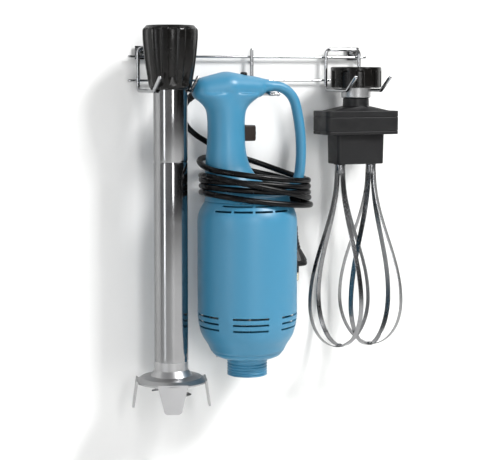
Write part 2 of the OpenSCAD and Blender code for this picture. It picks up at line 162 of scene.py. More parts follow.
def corner_path(points, radius, steps=8):
    """Round the corners of a route through space."""
    pts = [Vector(p) for p in points]
    out = [pts[0]]
    for i in range(1, len(pts) - 1):
        a = (pts[i - 1] - pts[i]).normalized()
        b = (pts[i + 1] - pts[i]).normalized()
        half = a.angle(b) / 2
        d = radius / math.tan(half)
        start = pts[i] + a * d
        end = pts[i] + b * d
        middle = pts[i] + (a + b).normalized() * (radius / math.sin(half))
        u = (start - middle).normalized()
        w = (end - middle).normalized()
        turn = u.angle(w)
        for k in range(steps + 1):
            t = k / steps
            arm = u * math.sin((1 - t) * turn) + w * math.sin(t * turn)
            out.append(middle + arm * (radius / math.sin(turn)))
    out.append(pts[-1])
    return out


def smooth_path(points, steps):
    """A Catmull-Rom curve through points."""
    p = [Vector(q) for q in points]
    out = []
    for i in range(len(p) - 1):
        a, b, c, d = p[max(i - 1, 0)], p[i], p[i + 1], p[min(i + 2, len(p) - 1)]
        for k in range(steps):
            t = k / steps
            out.append(0.5 * (2 * b + (c - a) * t + (2 * a - 5 * b + 4 * c - d) * t * t
                              + (3 * b - a - 3 * c + d) * t * t * t))
    out.append(p[-1])
    return out


def tube(path, radius, sides=16, ends="round", wide=None):
    """Sweep a round or oval section along a path; radius may be a list."""
    path = [Vector(p) for p in path]
    n = len(path)
    radii = list(radius) if isinstance(radius, (list, tuple)) else [radius] * n
    dirs = [(path[min(i + 1, n - 1)] - path[max(i - 1, 0)]).normalized() for i in range(n)]
    if ends == "round":
        front = [(path[0] - dirs[0] * radii[0] * math.sin(a), math.cos(a) * radii[0], dirs[0])
                 for a in (1.5, 1.2, 0.8, 0.4)]
        back = [(path[-1] + dirs[-1] * radii[-1] * math.sin(a), math.cos(a) * radii[-1], dirs[-1])
                for a in (0.4, 0.8, 1.2, 1.5)]
        stations = front + list(zip(path, radii, dirs)) + back
    else:
        stations = list(zip(path, radii, dirs))
    up = Vector((0, 1, 0)) if abs(dirs[0].y) < 0.8 else Vector((1, 0, 0))
    verts = []
    for centre, r, d in stations:
        side = up.cross(d).normalized()
        up = d.cross(side).normalized()
        for k in range(sides):
            a = TAU * k / sides
            v = centre + side * (math.cos(a) * r) + up * (math.sin(a) * r * (wide or 1))
            verts.append(tuple(v))
    return verts, stitched(len(stations), sides)


def block(x0, x1, y0, y1, z0, z1, r, corner=6, edge=1.5, rings=4):
    """A box with round upright corners and rolled top and bottom edges."""
    def outline(inset):
        rr = max(r - inset, 0.4)
        pts = []
        centres = ((x1 - r, y1 - r), (x0 + r, y1 - r), (x0 + r, y0 + r), (x1 - r, y0 + r))
        for quarter, (cx, cy) in enumerate(centres):
            for k in range(corner + 1):
                a = math.radians(90 * quarter + 90 * k / corner)
                pts.append((cx + rr * math.cos(a), cy + rr * math.sin(a)))
        return pts
    levels = []
    for k in range(rings + 1):
        a = math.pi / 2 * k / rings
        levels.append((edge * (1 - math.sin(a)), z0 + edge * (1 - math.cos(a))))
    for k in range(rings + 1):
        a = math.pi / 2 * (1 - k / rings)
        levels.append((edge * (1 - math.sin(a)), z1 - edge * (1 - math.cos(a))))
    verts = []
    for inset, z in levels:
        verts += [(x, y, z) for x, y in outline(inset)]
    return verts, stitched(len(levels), 4 * (corner + 1))


def moved(part, matrix):
    return [tuple(matrix @ Vector(v)) for v in part[0]], part[1]


def sphere_points(centre, r, squash=1.0, rows=20, cols=32):
    pts = []
    for i in range(rows + 1):
        t = math.pi * i / rows
        for k in range(cols):
            a = TAU * k / cols
            pts.append((centre[0] + r * math.sin(t) * math.cos(a), centre[1] + r * math.sin(t) * math.sin(a),
                        centre[2] + r * math.cos(t) * squash))
    return pts


def hull(points):
    bm = bmesh.new()
    for p in points:
        bm.verts.new(p)
    bmesh.ops.remove_doubles(bm, verts=bm.verts, dist=1e-4)
    result = bmesh.ops.convex_hull(bm, input=bm.verts)
    loose = [g for g in result["geom_interior"] + result["geom_unused"] if isinstance(g, bmesh.types.BMVert)]
    bmesh.ops.delete(bm, geom=list(set(loose)), context="VERTS")
    bm.verts.ensure_lookup_table()
    bm.verts.index_update()
    verts = [tuple(v.co) for v in bm.verts]
    faces = [tuple(v.index for v in f.verts) for f in bm.faces]
    bm.free()
    return verts, faces


def apply_modifiers(ob):
    bpy.context.view_layer.update()
    depsgraph = bpy.context.evaluated_depsgraph_get()
    new = bpy.data.meshes.new_from_object(ob.evaluated_get(depsgraph))
    old = ob.data
    ob.modifiers.clear()
    ob.data = new
    bpy.data.meshes.remove(old)
    return new


def bevel(ob, width, angle=30, segments=2):
    mod = ob.modifiers.new("bevel", "BEVEL")
    mod.width = width * MM
    mod.segments = segments
    mod.limit_method = "ANGLE"
    mod.angle_limit = math.radians(angle)
    mod.harden_normals = True
    return ob


# ---- Materials ----
NOISE_LOW, NOISE_HIGH = 0.3, 0.7


class Nodes:
    """A small builder around one Principled material."""

    def __init__(self, name):
        self.mat = bpy.data.materials.new(name)
        self.mat.use_nodes = True
        self.tree = self.mat.node_tree
        self.shader = self.tree.nodes["Principled BSDF"]
        self.coords = self.tree.nodes.new("ShaderNodeTexCoord").outputs["Object"]

    def stretched(self, scale):
        node = self.tree.nodes.new("ShaderNodeMapping")
        node.inputs["Scale"].default_value = scale
        self.tree.links.new(self.coords, node.inputs["Vector"])
        return node.outputs["Vector"]

    def noise(self, scale, detail=3.0, vector=None, distortion=0.0):
        node = self.tree.nodes.new("ShaderNodeTexNoise")
        node.inputs["Scale"].default_value = scale
        node.inputs["Detail"].default_value = detail
        node.inputs["Distortion"].default_value = distortion
        self.tree.links.new(vector or self.coords, node.inputs["Vector"])
        return node.outputs["Fac"]

    def ramp(self, value, stops):
        node = self.tree.nodes.new("ShaderNodeValToRGB")
        ramp = node.color_ramp
        while len(ramp.elements) < len(stops):
            ramp.elements.new(0.5)
        for element, (place, colour) in zip(ramp.elements, stops):
            element.position = place
            element.color = (*colour, 1)
        self.tree.links.new(value, node.inputs["Fac"])
        return node.outputs["Color"]

    def drift(self, scale, detail, colour, variation):
        """A colour that wanders slowly to either side of its own value."""
        darker = tuple(min(c * (1 - variation), 1.0) for c in colour)
        lighter = tuple(min(c * (1 + variation), 1.0) for c in colour)
        return self.ramp(self.noise(scale, detail), [(NOISE_LOW, darker), (NOISE_HIGH, lighter)])

    def span(self, value, low, high):
        node = self.tree.nodes.new("ShaderNodeMapRange")
        node.inputs["From Min"].default_value = NOISE_LOW
        node.inputs["From Max"].default_value = NOISE_HIGH
        node.inputs["To Min"].default_value = low
        node.inputs["To Max"].default_value = high
        self.tree.links.new(value, node.inputs["Value"])
        return node.outputs["Result"]

    def bump(self, height, strength, distance, below=None):
        node = self.tree.nodes.new("ShaderNodeBump")
        node.inputs["Strength"].default_value = strength
        node.inputs["Distance"].default_value = distance
        self.tree.links.new(height, node.inputs["Height"])
        if below is not None:
            self.tree.links.new(below, node.inputs["Normal"])
        return node.outputs["Normal"]

    def set(self, name, value):
        self.shader.inputs[name].default_value = value

    def feed(self, name, output):
        self.tree.links.new(output, self.shader.inputs[name])


def plastic(name, colour, rough=(0.3, 0.4), grain=2600, depth=0.35, variation=0.06, gloss=0.5):
    """Moulded plastic: fine texture in the bump, slow colour drift, handling marks in the gloss."""
    m = Nodes(name)
    m.feed("Base Color", m.drift(9, 2, colour, variation))
    smears = m.noise(38, 5, distortion=1.2)
    m.feed("Roughness", m.span(smears, rough[0], rough[1]))
    fine = m.bump(m.noise(grain, 2), depth * 0.4, 0.00008)
    m.feed("Normal", m.bump(m.noise(55, 3), 0.05, 0.0006, fine))
    m.set("Specular IOR Level", gloss)
    return m.mat


def metal(name, colour, rough=(0.1, 0.2), stretch=(1, 1, 1), scale=300, depth=0.1, variation=0.05):
    """Polished or brushed metal: stretched scratches, slow tarnish and finger marks."""
    m = Nodes(name)
    m.feed("Base Color", m.drift(14, 3, colour, variation))
    brushed = m.noise(scale, 4, m.stretched(stretch))
    marks = m.noise(30, 5, distortion=0.8)
    mix = m.tree.nodes.new("ShaderNodeMath")
    mix.operation = "ADD"
    m.tree.links.new(m.span(brushed, 0, (rough[1] - rough[0]) * 0.5), mix.inputs[0])
    m.tree.links.new(m.span(marks, rough[0], (rough[0] + rough[1]) / 2), mix.inputs[1])
    m.feed("Roughness", mix.outputs["Value"])
    m.feed("Normal", m.bump(brushed, depth, 0.00006))
    m.set("Metallic", 1.0)
    return m.mat


BLUE = (0.034, 0.182, 0.305)
blue = plastic("satin_blue", BLUE, (0.36, 0.48), variation=0.035, gloss=0.5)
casing_blue = plastic("satin_blue_casing", BLUE, (0.34, 0.46), variation=0.035, gloss=0.5)
dark_brown = plastic("trigger_plastic", (0.016, 0.010, 0.008), (0.4, 0.5), gloss=0.25)
knob_black = plastic("knob_plastic", (0.004, 0.0037, 0.0034), (0.2, 0.3), 1800, 0.3, gloss=0.24)
gearbox_grey = plastic("gearbox_plastic", (0.0108, 0.0108, 0.0114), (0.36, 0.52), 1500, 0.9, 0.16, gloss=0.2)
inner_black_and_slot_shade = plastic("black_plastic_and_painted_slot_shade", (0.015, 0.015, 0.016), (0.5, 0.6))
rubber = plastic("cord_rubber", (0.0015, 0.0015, 0.0018), (0.24, 0.36), 900, 0.3, gloss=0.14)
plug_rubber = plastic("plug_rubber", (0.006, 0.006, 0.0065), (0.38, 0.5), 1100, 0.7, gloss=0.25)
white = plastic("white_acetal", (0.72, 0.70, 0.64), (0.3, 0.4))
board_green = plastic("circuit_board", (0.015, 0.09, 0.04), (0.3, 0.45))
seal = plastic("seal_rubber", (0.014, 0.014, 0.014), (0.5, 0.65))
carbon = plastic("brush_carbon", (0.02, 0.02, 0.02), (0.55, 0.7))
chrome = metal("chrome_wire", (0.40, 0.405, 0.415), (0.05, 0.14), (1, 1, 1), 120, 0.05)
steel = metal("polished_steel", (0.27, 0.271, 0.276), (0.10, 0.18), (1, 1, 0.02), 900, 0.12)
brushed = metal("brushed_steel", (0.37, 0.37, 0.375), (0.30, 0.42), (0.05, 0.05, 1), 1400, 0.25)
whisk_steel = metal("whisk_strip_steel", (0.235, 0.237, 0.242), (0.2, 0.32), (1, 1, 0.03), 1100, 0.15)
brass = metal("plug_pin_metal", (0.72, 0.66, 0.50), (0.14, 0.28), (1, 1, 0.1), 600, 0.1)
copper = metal("winding_copper", (0.62, 0.28, 0.12), (0.25, 0.4), (1, 1, 30), 300, 0.6, 0.1)
lamination = metal("core_iron", (0.28, 0.28, 0.29), (0.35, 0.5), (0.05, 0.05, 40), 60, 0.7, 0.1)
cast = metal("bridge_metal", (0.5, 0.5, 0.52), (0.4, 0.55), (1, 1, 1), 500, 0.4)


# ---- Cord: lead down behind the grip, five turns, tail to the plug ----
WIND_X, WIND_Z = -16.5, -160.8
WIND_HALF, WIND_R = 15.0, 51.5
TILT = math.tan(math.radians(7))
TURN = 4 * WIND_HALF + TAU * WIND_R


def winding_at(t, v, out):
    """A point of the winding: turns from the middle of the back, height in the band, distance outward."""
    d = (t % 1) * TURN
    r = WIND_R + out
    half = math.pi * WIND_R
    if d < WIND_HALF:
        x, y = d, r
    elif d < WIND_HALF + half:
        a = (d - WIND_HALF) / WIND_R
        x, y = WIND_HALF + r * math.sin(a), r * math.cos(a)
    elif d < 3 * WIND_HALF + half:
        x, y = WIND_HALF - (d - WIND_HALF - half), -r
    elif d < 3 * WIND_HALF + 2 * half:
        a = (d - 3 * WIND_HALF - half) / WIND_R
        x, y = -WIND_HALF - r * math.sin(a), -r * math.cos(a)
    else:
        x, y = d - TURN, r
    return (WIND_X + x, MOTOR[1] + y, WIND_Z - x * TILT + v)


def eased(stations, t):
    """Value at t between stations (place, value), with a flat start and end to each step."""
    for (t0, v0), (t1, v1) in zip(stations, stations[1:]):
        if t <= t1:
            s = (t - t0) / (t1 - t0)
            s = s * s * (3 - 2 * s)
            return v0 + (v1 - v0) * s
    return stations[-1][1]


# height in the band against turns, and how far a strand stands out where it crosses others
levels = [(-0.06, 34), (0.25, 14.4), (0.5, 12.2), (0.70, 13.5), (0.80, 23), (0.88, 29), (1.06, 15),
          (1.25, 7.2), (1.5, 4.6), (1.75, 0.0), (2.0, 3), (2.25, 0.0), (2.75, -7.2), (3.0, -5), (3.25, -7.2),
          (3.74, 6.2), (4.25, -14.4), (4.5, -16.5), (4.75, -14.4), (4.95, -16.5), (5.10, -22)]
standing = [(0, 0), (0.66, 0), (0.78, 3), (0.95, 0), (3.31, 0), (3.41, 6.6), (3.64, 6.6), (3.73, 0),
            (3.80, 0), (3.92, 5), (4.12, 5), (4.22, 0), (4.30, 3.2), (4.70, 3.2), (4.78, 0), (6, 0)]
lead_route = [(-88.5, -27.5, -56.5), (-91, -20, -64), (-92, -14.5, -73), (-90, -11.5, -82),
              (-84.5, -10.8, -91.5), (-74, -11, -101), (-62, -11, -108.5), (-51, -11, -115)]
tail_route = [(32, -20.5, -190), (41, -24.5, -197), (46.5, -26.5, -206.5), (49, -27, -218)]
TURN_START, TURN_STEPS = -0.055, 40
places = [TURN_START + i / TURN_STEPS for i in range(207)]
turns = [winding_at(t, eased(levels, t), eased(standing, t)) for t in places if t <= levels[-1][0]]
cord_line = smooth_path(lead_route + turns[:1], 6)[:-1] + [Vector(p) for p in turns[:-1]]
cord_line += smooth_path(turns[-1:] + tail_route, 6)
for _ in range(3):
    inner = [(a + b * 2 + c) / 4 for a, b, c in zip(cord_line, cord_line[1:], cord_line[2:])]
    cord_line = [cord_line[0]] + inner + [cord_line[-1]]
cord_mesh = mesh_of("mains_cord", *tube(cord_line, CORD_R, 16, ends="flat"))
cord = link("mains_cord", cord_mesh, rubber, "motor_unit",
            ("cord_lead", "cord_winding", "cord_tail"))

# Ribbed strain relief where the cord leaves the handle
gland_a, gland_b = Vector((-78, -50, -40)), Vector(lead_route[0])
gland_path, gland_radii = [], []
for k in range(61):
    t = k / 60
    base = 6.0 - 1.5 * t
    rib = 0.55 * max(0.0, math.sin(t * TAU * 6)) if 0.3 < t < 0.94 else 0.0
    gland_path.append(gland_a.lerp(gland_b, t))
    gland_radii.append(base - rib)
gland_mesh = mesh_of("strain_relief", *tube(gland_path, gland_radii, 24, ends="flat"), sharp=50)
gland = link("strain_relief", gland_mesh, plug_rubber, "motor_unit", ("cord_gland",))

# Plug: necked body with grip ribs, rim and two round pins
PLUG = (49.0, -27.0)
PIN_OFFSET = 9.5
plug_profile = [(3.6, -214.5), (4.6, -216), (4.8, -220), (5.2, -226), (6.0, -232), (7.2, -238), (8.8, -244),
                (11.6, -249), (14.2, -253), (15.9, -256.5), (16.4, -258), (15.7, -258.7), (15.7, -259.4),
                (16.5, -260), (16.5, -262.6), (15.6, -264), (0.5, -264)]


def plug_shape(r, z, a):
    if -246 < z < -219:
        return r - 0.5 * (0.5 + 0.5 * math.sin((z + 219) * TAU / 4.2))
    if -257 < z < -248:
        return r - 0.35 * (0.5 + 0.5 * math.cos(a * 16))
    return r


plug_part = lathe(densified(plug_profile, 0.5), PLUG, 96, plug_shape)
plug = link("mains_plug", mesh_of("mains_plug", *plug_part, sharp=50), plug_rubber, "motor_unit",
            ("plug_body",))
pin_profile = rounded([(0.4, -263), (2.4, -263), (2.4, -281), (2.0, -282.4), (1.2, -283), (0.2, -283)], 0.4)
sleeve_profile = [(2.42, -263.5), (2.62, -264), (2.62, -272), (2.42, -272.4)]
for side, node in ((-1, "plug_pin_front"), (1, "plug_pin_rear")):
    centre = (PLUG[0], PLUG[1] + side * PIN_OFFSET)
    link(node + "_metal", mesh_of(node, *lathe(pin_profile, centre, 32)), brass, "motor_unit",
                     (node,))
    link(node + "_sleeve", mesh_of(node + "_sleeve", *lathe(sleeve_profile, centre, 32)),
                     plug_rubber, "motor_unit")

# ---- Rack ----
for node, z in (("rod_upper", -5.5), ("rod_lower", -34.5)):
    path = [(-ROD_HALF + 2 * ROD_HALF * k / 40, ROD_Y, z) for k in range(41)]
    link(node + "_wire", mesh_of(node, *tube(path, ROD_R, 20)), chrome, "rack", (node,))
for node, x in (("bracket_left", -BRACKET_X), ("bracket_right", BRACKET_X)):
    corners = [(23, -96, -31), (23, -72, -46.7), (23, WIRE_Y, -46.7), (23, WIRE_Y, 4.4)]
    points = [(x - a, b, c) for a, b, c in corners] + [(x + a, b, c) for a, b, c in reversed(corners)]
    path = corner_path(points, 6.5, 10)
    link(node + "_wire", mesh_of(node, *tube(path, WIRE_R, 20)), chrome, "rack", (node,))
HOOK_Y, HOOK_Z, HOOK_BALL_R = -71.5, -50.6, 2.7
hook = corner_path([(0, WIRE_Y, 3), (0, WIRE_Y, HOOK_Z), (0, HOOK_Y, HOOK_Z), (9.5, HOOK_Y, HOOK_Z)], 4.0, 10)
ball = [(HOOK_BALL_R * math.sin(math.pi * k / 12), HOOK_Z + HOOK_BALL_R * math.cos(math.pi * k / 12))
        for k in range(1, 12)]
ball = [(0.05, HOOK_Z + HOOK_BALL_R)] + ball + [(0.05, HOOK_Z - HOOK_BALL_R)]
hook_part = joined(tube(hook, WIRE_R, 20), lathe(ball, (9.6, HOOK_Y), 24))
link("centre_hook_wire", mesh_of("centre_hook", *hook_part), chrome, "rack", ("centre_hook",))
for node, x in (("screw_lug_left", -SCREW_X), ("screw_lug_right", SCREW_X)):
    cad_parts[node].data.materials.clear()
    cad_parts[node].data.materials.append(chrome)
    head = rounded([(0.3, 0), (3.0, 0.2), (4.4, 1.2), (4.6, 2.2), (4.6, 2.6), (0.3, 2.6)], 0.4)
    part = lathe([(r, -z) for r, z in head], segs=48)
    turn = Matrix.Translation((x, -4.7, 0)) @ Matrix.Rotation(math.radians(90), 4, "X")
    side = node.split("_")[-1]
    link("wall_screw_" + side, mesh_of("screw", *moved(part, turn), sharp=40), brushed, "rack")
    # each slot is a flat black bar laid on the head's face, not cut into it: painted shade of the slot
    for k in range(2):
        slit = block(-2.4, 2.4, -0.4, 0.4, -0.25, 0.1, 0.35, 3, 0.05, 1)
        spin = turn @ Matrix.Rotation(math.radians(25 + 90 * k), 4, "Z")
        link(f"screw_slit_{k}_{side}", mesh_of("slit", *moved(slit, spin)), inner_black_and_slot_shade, "rack")

# ---- Handle: one blended form, split along the moulding line ----
crown = hull(sphere_points((-76.5, MOTOR_Y, -45.0), 19.5, 0.80) + sphere_points((-53, MOTOR_Y, -42.4), 24.2, 0.77)
             + sphere_points((-16, MOTOR_Y, -43.0), 13.5, 0.92))
nose = hull(sphere_points((-22, MOTOR_Y, -40.5), 12.5, 0.95) + sphere_points((5, MOTOR_Y, -41.2), 6.8))
head = joined(crown, nose)
flare = [(-50, 20), (-55, 17), (-58, 12.5), (-62, 7.5), (-66, 4), (-70, 1.7), (-76, 0.3), (-200, 0)]


def grip_shape(r, z, a):
    for (z0, e0), (z1, e1) in zip(flare, flare[1:]):
        if z0 >= z >= z1:
            return r + (e0 + (e1 - e0) * (z0 - z) / (z0 - z1)) * math.cos(a) ** 2
    return r


grip_profile = [(22.4, z) for z in (-50, -53, -55, -58, -60, -62, -64, -66, -68, -70, -73)]
grip_profile += [(22.3, -80), (22.1, -88), (22.1, -98), (22.5, -106), (23.1, -114), (23.8, -121),
                 (24.2, -126)]
grip = lathe(grip_profile, (GRIP_X, MOTOR_Y), 64, grip_shape)
sections = [(-112, -76.5, -30.6, 22.9), (-120, -77.4, -29.4, 23.8), (-128, -78.0, -27.6, 24.6),
            (-136, -78.5, -24.6, 25.8), (-143, -78.7, -20.6, 27.6), (-149, -78.7, -15.8, 29.8),
            (-155, -78.6, -9.0, 32.8), (-160, -78.3, -0.5, 36.0), (-164.5, -77.9, 9.0, 39.0),
            (-168.5, -77.2, 17.5, 41.6), (-172, -76.5, 23.3, 43.4), (-175, -75.9, 22.8, 45.8)]
shoulder_verts = []
for z, x0, x1, depth in sections:
    shoulder_verts += [((x0 + x1) / 2 + (x1 - x0) / 2 * math.cos(TAU * k / 64),
                        MOTOR_Y + depth * math.sin(TAU * k / 64), z) for k in range(64)]
shoulder = shoulder_verts, stitched(len(sections), 64)
around = [(math.cos(TAU * k / 64), math.sin(TAU * k / 64)) for k in range(64)]
skirt = hull([(MOTOR[0] + 5.0 * s + 45.0 * c, MOTOR_Y + 45.0 * n, -171.0) for c, n in around for s in (-1, 1)]
             + [(MOTOR[0] + r * c, MOTOR_Y + r * n, z)
                for c, n in around for r, z in ((49.6, -175.5), (51.0, -178), (53.5, -184))])
loop_line = []
for cx, cz, r, a0, a1 in ((7, -141, 34, -86, -7), (-172.7, -118.9, 215, -7, 15), (6, -71, 30, 15, 88)):
    loop_line += [(cx + r * math.cos(math.radians(a0 + (a1 - a0) * k / 16)), MOTOR_Y,
                   cz + r * math.sin(math.radians(a0 + (a1 - a0) * k / 16))) for k in range(16)]
loop_line.append((-8, MOTOR_Y, -41.5))
loop_points = [(p[0] + 1.0, p[1], p[2]) for i, p in enumerate(loop_line) if i % 2 == 0 or i > 44]
loop = tube(loop_points, 6.3, 28, wide=1.15)
form_mesh = mesh_of("handle_form", *joined(head, grip, shoulder, skirt, loop))
form = link("handle_form", form_mesh, blue, "motor_unit")
remesh = form.modifiers.new("remesh", "REMESH")
remesh.mode = "VOXEL"
remesh.voxel_size = 1.15 * MM
soften = form.modifiers.new("soften", "SMOOTH")
soften.factor = 0.5
soften.iterations = 18
apply_modifiers(form)


def half_of(name, source, sign, nodes):
    """One moulding: the form cut at the parting line, and flat at the casing seam."""
    bm = bmesh.new()
    bm.from_mesh(source)
    gap = 0.16 * MM
    parting = ((0, MOTOR_Y * MM + sign * gap, 0), (0, -sign, 0))
    seam = ((0, 0, (SEAM_Z + 0.15) * MM), (0, 0, -1))
    for co, no in (parting, seam):
        cut = bmesh.ops.bisect_plane(bm, geom=bm.verts[:] + bm.edges[:] + bm.faces[:], plane_co=co,
                                     plane_no=no, clear_outer=True)
        rim = [g for g in cut["geom_cut"] if isinstance(g, bmesh.types.BMEdge)]
        bmesh.ops.triangle_fill(bm, edges=rim, use_beauty=True, use_dissolve=False, normal=no)
    me = bpy.data.meshes.new(name)
    bm.to_mesh(me)
    bm.free()
    me.polygons.foreach_set("use_smooth", [True] * len(me.polygons))
    me.set_sharp_from_angle(angle=math.radians(40))
    return link(name, me, blue, "motor_unit", nodes)


half_of("handle_front_moulding", form.data, -1, ("handle_front",))
half_of("handle_rear_moulding", form.data, 1, ("handle_rear",))
bpy.data.objects.remove(form)

# Trigger: block with faint finger grooves, and its dark frame in the grip
steps = []
for k in range(25):
    z = TRIGGER_Z - TRIGGER_HALF + 2 * TRIGGER_HALF * k / 24
    bow = 1.3 * math.cos((z - TRIGGER_Z) / TRIGGER_HALF * math.pi / 2)
    groove = 0.2 * (0.5 - 0.5 * math.cos((z - TRIGGER_Z) * TAU / 6.2))
    steps.append((z, bow * 0.4 - groove))
trigger_verts = []
ring_count = 24
for z, push in steps:
    edge = min(1.0, (TRIGGER_HALF + 0.5 - abs(z - TRIGGER_Z)) / 1.6)
    for k in range(ring_count):
        a = TAU * k / ring_count
        c, s = math.cos(a), math.sin(a)
        x = -29.0 + math.copysign(abs(c) ** 0.3, c) * (10.9 if c > 0 else 9.4) * (0.93 + 0.07 * edge)
        y = MOTOR_Y + math.copysign(abs(s) ** 0.3, s) * 8.8 * (0.9 + 0.1 * edge)
        trigger_verts.append((x + (push if c > 0.2 else 0), y, z))
trigger_part = trigger_verts, stitched(len(steps), ring_count)
# its stop inside the grip: four bars around the seat of the spring
stop = [block(-44.6, -38.2, MOTOR_Y + y0, MOTOR_Y + y1, z0, z1, 1, 4, 0.5, 2)
        for y0, y1, z0, z1 in ((-12, -5, -108.5, -85.5), (5, 12, -108.5, -85.5), (-6, 6, -108.5, -102),
                               (-6, 6, -92, -85.5))]
trigger_mesh = mesh_of("trigger_block", *joined(trigger_part, *stop), sharp=50)
trigger = link("trigger_block", trigger_mesh, dark_brown, "trigger", ("trigger",))
bevel(trigger, 0.9, 40, 3)
bezel = block(-38.5, -33.0, MOTOR_Y - 9.9, MOTOR_Y + 9.9, -107.8, -86.2, 2.0, 5, 0.6, 3)
link("trigger_bezel", mesh_of("trigger_bezel", *bezel, sharp=40), inner_black_and_slot_shade, "motor_unit")

# Safety button on the head: a low dome on a short post
dome = rounded([(4.0, -36), (4.1, -25.6), (3.4, -24.5), (0.2, -24.2)], 0.8)
link("safety_button_cap", mesh_of("safety_button", *lathe(dome, (-31, MOTOR_Y), 40), sharp=50), knob_black,
     "safety_button", ("safety_button",))

# ---- Motor casing: one turned shell with real slots ----
casing_line = [(49.4, -178.2), (50.8, -178.3), (51.3, -178.7), (52.1, -180.3), (53.2, -182.1)]
casing_line += [(53.8, -183.2), (55.4, -186.1), (56.7, -188.5), (58.0, -191.5), (59.05, -194.8),
                (59.7, -198.5), (60, -203)]
casing_line += [(60, z) for z in (-215, -235, -255, -275, -295, -306)]
casing_line += [(60, -312.0), (60, -314.4), (59.8, -319.3), (59.55, -321.7), (58.8, -326.6), (58.25, -329.0),
                (57.3, -333), (56, -337.5), (54.3, -341.5), (52.2, -345), (50.0, -348.2), (47.6, -352),
                (45.6, -356), (44.2, -359.2), (43.0, -359.6), (21.0, -359.6)]
slot_rows = {(-180.3, -182.1): [(-102, 2, 40, 44), (78, 2, 40, 44)],
             (-186.1, -188.5): [(-102, 4, 23, 26), (78, 4, 23, 26)]}
for z in (-312.0, -319.3, -326.6):
    slot_rows[(z, z - 2.4)] = [(44, 6, 42, 60)]
SEGS = 360


def slotted(z_top, z_bottom, angle):
    for (top, bottom), groups in slot_rows.items():
        if abs(top - z_top) < 0.05 and abs(bottom - z_bottom) < 0.05:
            for middle, count, arc, pitch in groups:
                start = middle - ((count - 1) * pitch + arc) / 2
                for k in range(count):
                    if 0 <= (angle - start - k * pitch) % 360 < arc:
                        return True
    return False


verts, faces = lathe(casing_line, MOTOR, SEGS, closed=False)
kept = []
for i in range(len(casing_line) - 1):
    for k in range(SEGS):
        if not slotted(casing_line[i][1], casing_line[i + 1][1], k + 0.5):
            kept.append(faces[i * SEGS + k])
casing = link("motor_casing_shell", mesh_of("motor_casing", verts, kept, sharp=60), casing_blue, "motor_unit",
              ("motor_casing",))
shell = casing.modifiers.new("wall", "SOLIDIFY")
shell.thickness = 2.3 * MM
shell.offset = -1
shell.use_even_offset = False
bevel(casing, 0.28, 50, 2)

# Threaded neck
neck_line = [(11.4, -359.7), (42.4, -359.7), (42.2, -361.5), (39.5, -364.6), (34.5, -366.8), (30.5, -367.9),
             (25.2, -368.4), (24.3, -369)]
for k in range(5):
    z = -372.5 - 3.3 * k
    neck_line += [(24.3, z), (24.1, z - 0.5), (23.2, z - 1.1), (23.0, z - 1.9), (23.3, z - 2.5),
                  (24.2, z - 3.1)]
neck_line += [(24.0, -388.2), (23.2, -389.3), (19.0, -389.3), (18.2, -388.6), (18.0, -374.2), (11.4, -374)]
neck_part = lathe(neck_line + [neck_line[0]], MOTOR, 120, closed=False)
link("coupling_neck_thread", mesh_of("coupling_neck", *neck_part, sharp=55), casing_blue, "motor_unit",
     ("coupling_neck",))

# ---- Blending shaft ----
knob_outer = [(20.9, -45.1), (23.2, -44.2), (24.9, -41.6), (26.0, -36), (26.9, -30), (28.6, -20), (30.0, -10),
              (31.2, 1), (31.9, 9), (32.3, 14), (32.5, 20), (32.4, 24), (31.6, 26.2), (30.0, 27.4),
              (29.2, 28.4), (28.4, 29.6), (27.6, 30)]
knob_inner = [(26.6, 30), (25.4, 29.2), (25.1, 27), (25.1, 4), (20.45, 4), (20.45, -45.1)]
knob_line = densified(knob_outer, 1.0) + knob_inner


KNOB_FLUTES, FLUTE_DEPTH, FLUTE_SHARE, FLUTE_TOP = 10, 2.7, 0.62, 27.3


def knob_shape(r, z, a):
    """Shallow round flutes that run out at both ends of the knob."""
    if r < 25.3 or z > FLUTE_TOP:
        return r
    reach = min(1.0, max(0.0, (z + 42) / 12)) * min(1.0, max(0.0, (FLUTE_TOP - z) / 2.2))
    near = abs(((a * KNOB_FLUTES / TAU + 0.3) % 1.0) - 0.5) * 2
    if near > FLUTE_SHARE:
        return r
    return r - FLUTE_DEPTH * reach * (1 - (near / FLUTE_SHARE) ** 2) ** 0.5


knob_part = lathe(knob_line + [knob_line[0]], SHAFT, 240, knob_shape, closed=False)
link("shaft_knob_grip", mesh_of("shaft_knob", *knob_part, sharp=50), knob_black, "shaft_knob",
     ("shaft_knob",))
tube_line = [(17.8, 2), (20.1, 2), (20.1, -60), (20.1, -127.6), (20.0, -128.2), (19.7, -128.7), (19.6, -129.6),
             (19.7, -130.5), (20.0, -131.0), (20.1, -131.6), (20.1, -200), (20.1, -280), (20.1, -362),
             (20.3, -364.5), (20.1, -366), (17.8, -366)]
tube_part = lathe(tube_line + [tube_line[0]], SHAFT, 128, closed=False)
link("shaft_tube_steel", mesh_of("shaft_tube", *tube_part, sharp=40), steel, "shaft_tool",
     ("shaft_tube",))

# ---- Whisk nut, ribbed ----
nut_outer = [(18.6, -43.6), (29.6, -43.6), (30.8, -42.9), (31.4, -41.9), (31.4, -40.8)]
nut_outer += [(31.4, -40.8 + 20.2 * k / 24) for k in range(1, 25)]
nut_outer += [(31.4, -19.4), (30.9, -18.4), (29.8, -17.9), (26.4, -17.9), (25.1, -18.8), (25.1, -38.3),
              (18.6, -38.3)]


NUT_POCKETS, POCKET_DEPTH, POCKET_SHARE, POCKET_TOP = 10, 2.4, 0.46, -22.6


def nut_shape(r, z, a):
    """Straight pockets open at the bottom, below a plain rim."""
    if r < 29.5 or not -43.8 < z < POCKET_TOP:
        return r
    near = abs((((a - math.radians(-106)) * NUT_POCKETS / TAU) % 1.0 + 0.5) % 1.0 - 0.5) * 2
    reach = min(1.0, (z + 44) / 1.2) * min(1.0, (POCKET_TOP - z) / 1.0)
    return r - POCKET_DEPTH * reach * min(1.0, max(0.0, (POCKET_SHARE - near) / 0.07))


